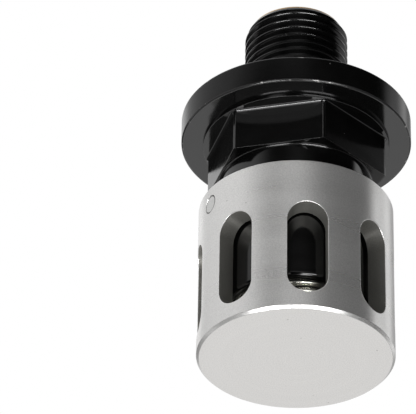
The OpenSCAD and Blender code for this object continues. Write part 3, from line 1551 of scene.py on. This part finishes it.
@dataclass(frozen=True)
class Panel:
    """A soft-edged part of the reflection dome with its own brightness.

    Its azimuth is counted from the camera's, towards the right.
    """

    azimuth: float
    half_width: float
    low: float
    high: float
    level: float
    soft: float
    soft_level: float


@dataclass(frozen=True)
class DomePaper(Finish):
    """Paper of the reflection dome, white with darker and brighter panels."""

    level: float
    panels: tuple[Panel, ...]
    camera_azimuth: float

    def shade(self, sheet: Sheet, place: Socket) -> Socket:
        """Lays one panel after the other over the white.

        Args:
            sheet: Sheet of the material's tree.
            place: Object coordinates.

        Returns:
            The shader's output.
        """
        x, y, _ = sheet.add("SeparateXYZ", {0: place}).outputs
        degrees = sheet.times(sheet.math("ARCTAN2", x, sheet.times(y, -1.0)), 180 / math.pi)
        unit = sheet.add("VectorMath", {0: place}, operation="NORMALIZE").outputs[0]
        height = sheet.add("SeparateXYZ", {0: unit}).outputs[2]
        rise = sheet.times(sheet.math("ARCSINE", height), 180 / math.pi)
        light = (self.level,) * 3 + (1.0,)
        for panel in self.panels:
            off = sheet.math("SUBTRACT", degrees, panel.azimuth + self.camera_azimuth)
            off = sheet.add("Math", {0: off, 1: 180.0, 2: -180.0}, operation="WRAP").outputs[0]
            away = sheet.math("ABSOLUTE", off)
            across = self.fade(sheet, away, panel.half_width, panel.soft, (1.0, 0.0))
            above = self.fade(sheet, rise, panel.low, panel.soft_level, (0.0, 1.0))
            below = self.fade(sheet, rise, panel.high, panel.soft_level, (1.0, 0.0))
            mask = sheet.times(across, sheet.times(above, below))
            light = sheet.blend(mask, light, (panel.level,) * 3 + (1.0,))
        return sheet.add("Emission", {"Color": light, "Strength": 1.0}).outputs[0]

    @staticmethod
    def fade(sheet: Sheet, value: Feed, edge: float, soft: float, sides: Point) -> Socket:
        """A soft step at an edge."""
        return sheet.spread(value, (edge - soft / 2, edge + soft / 2), sides, smooth=True)


@dataclass(frozen=True)
class Studio:
    """White surround, pale floor, reflection dome and soft lamps."""

    camera_azimuth: float
    ambient: float = 0.4
    floor_size: float = 0.9
    floor_gap: float = 0.0002
    dome_r: float = 0.7
    dome_level: float = 0.62
    panels: tuple[Panel, ...] = (
        Panel(24.0, 60.0, -65.0, 46.0, 0.03, 23.0, 20.0),
        Panel(-53.0, 57.0, -79.0, 15.0, 0.0, 18.0, 14.0),
        Panel(-72.0, 82.0, 47.0, 61.0, 1.76, 20.0, 28.0),
        Panel(119.0, 31.0, -16.0, 57.0, 1.27, 11.0, 18.0),
        Panel(200.0, 52.0, -97.0, 18.0, 0.84, 11.0, 24.0),
        Panel(2.0, 57.0, -72.0, -60.0, 0.65, 29.0, 27.0),
        Panel(-29.0, 25.0, 30.0, 43.0, 0.01, 38.0, 14.0),
        Panel(-135.0, 18.0, -46.0, 26.0, 0.07, 15.0, 16.0),
        Panel(153.0, 11.0, -34.0, 50.0, 0.3, 16.0, 22.0),
        Panel(73.0, 48.0, -58.0, 81.0, 0.0, 41.0, 45.0),
        Panel(1.0, 19.0, 19.0, 26.0, 1.7, 23.0, 11.0),
        Panel(-23.0, 8.0, -32.0, 3.0, 2.45, 8.0, 9.0),
        Panel(87.0, 17.0, -139.0, -7.0, 0.0, 20.0, 15.0),
        Panel(107.0, 8.0, 16.0, 38.0, 1.15, 9.0, 11.0),
        Panel(-152.0, 12.0, 26.0, 46.0, 1.05, 10.0, 10.0),
    )
    lamps: tuple[Softbox, ...] = (
        Softbox("left_highlight_strip", -31.0, -54.0, 23.0, 16.0, 17.0, Lights.GLOSS),
        Softbox("right_highlight_strip", 31.0, -50.0, 28.0, 13.0, 15.0, Lights.GLOSS),
        Softbox("right_front_lamp", 26.0, -20.0, 34.0, 8.0, 11.0, Lights.GLOSS),
        Softbox("upper_key", -75.0, 50.0, 60.0, 40.0, 1.5, Lights.MATT),
        Softbox("middle_key", -70.0, 10.0, 60.0, 40.0, 1.75, Lights.MATT),
        Softbox("lower_key", -60.0, -28.0, 60.0, 40.0, 1.3, Lights.MATT),
        Softbox("low_fill", 0.0, -75.0, 90.0, 90.0, 1.2, Lights.MATT),
    )

    def place(self) -> None:
        """Builds the whole studio."""
        self.surround()
        self.floor()
        self.dome()
        for lamp in self.lamps:
            lamp.place(self.camera_azimuth)
        bpy.context.scene.view_settings.view_transform = "Standard"

    def surround(self) -> None:
        """Makes the world white for rays that show it, and softer for the light it gives."""
        world = bpy.data.worlds.new("white_surround")
        world.use_nodes = True
        world.node_tree.nodes.clear()
        sheet = Sheet(world.node_tree)
        path = sheet.add("LightPath").outputs
        seen = sheet.math("MAXIMUM", path["Is Camera Ray"], path["Is Glossy Ray"])
        seen = sheet.math("MAXIMUM", seen, path["Is Transmission Ray"])
        strength = sheet.spread(seen, (0.0, 1.0), (self.ambient, 1.0))
        light = sheet.add("Background", {"Color": (1.0, 1.0, 1.0, 1.0), "Strength": strength})
        sheet.add("OutputWorld", {"Surface": light.outputs[0]})
        bpy.context.scene.world = world

    def floor(self) -> None:
        """Lays the floor just under the cap's flat end."""
        form = Form()
        lay = Matrix.Translation((0, 0, -self.floor_gap))
        bmesh.ops.create_grid(form.bm, x_segments=1, y_segments=1, size=self.floor_size / 2, matrix=lay)
        hidden = ("diffuse", "glossy", "transmission", "shadow")
        self.stage("pale_floor", form, PaleFloor("pale_floor"), hidden)

    def dome(self) -> None:
        """Puts the dome round the plug, for reflections only."""
        form = Form()
        bmesh.ops.create_uvsphere(form.bm, u_segments=64, v_segments=32, radius=self.dome_r)
        paper = DomePaper("dome_paper", self.dome_level, self.panels, self.camera_azimuth)
        self.stage("reflection_dome", form, paper, ("camera", "diffuse", "transmission", "shadow"))

    def stage(self, name: str, form: Form, finish: Finish, hidden: Iterable[str]) -> None:
        """Puts up a form, in metres, that isn't part of the plug.

        Args:
            name: Name of its object.
            form: The form.
            finish: Its finish.
            hidden: Kinds of rays that don't see it.
        """
        item = form.as_object(name)
        item.data.materials.append(finish.material())
        hide_from(item, *hidden)


def main() -> None:
    """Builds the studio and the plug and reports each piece."""
    logging.basicConfig(level=logging.INFO, format="%(message)s")
    view = Viewpoint()
    view.place()
    Studio(view.azimuth).place()
    for kind in (PlugBody, SlottedCap, LockPin, ValvePiston, SealDisc, ReturnSpring, SealingWasher):
        piece = kind.from_frame().build()
        LOG.info("%s: %d faces", piece.name, len(piece.data.polygons))


if __name__ == "__main__":
    main()
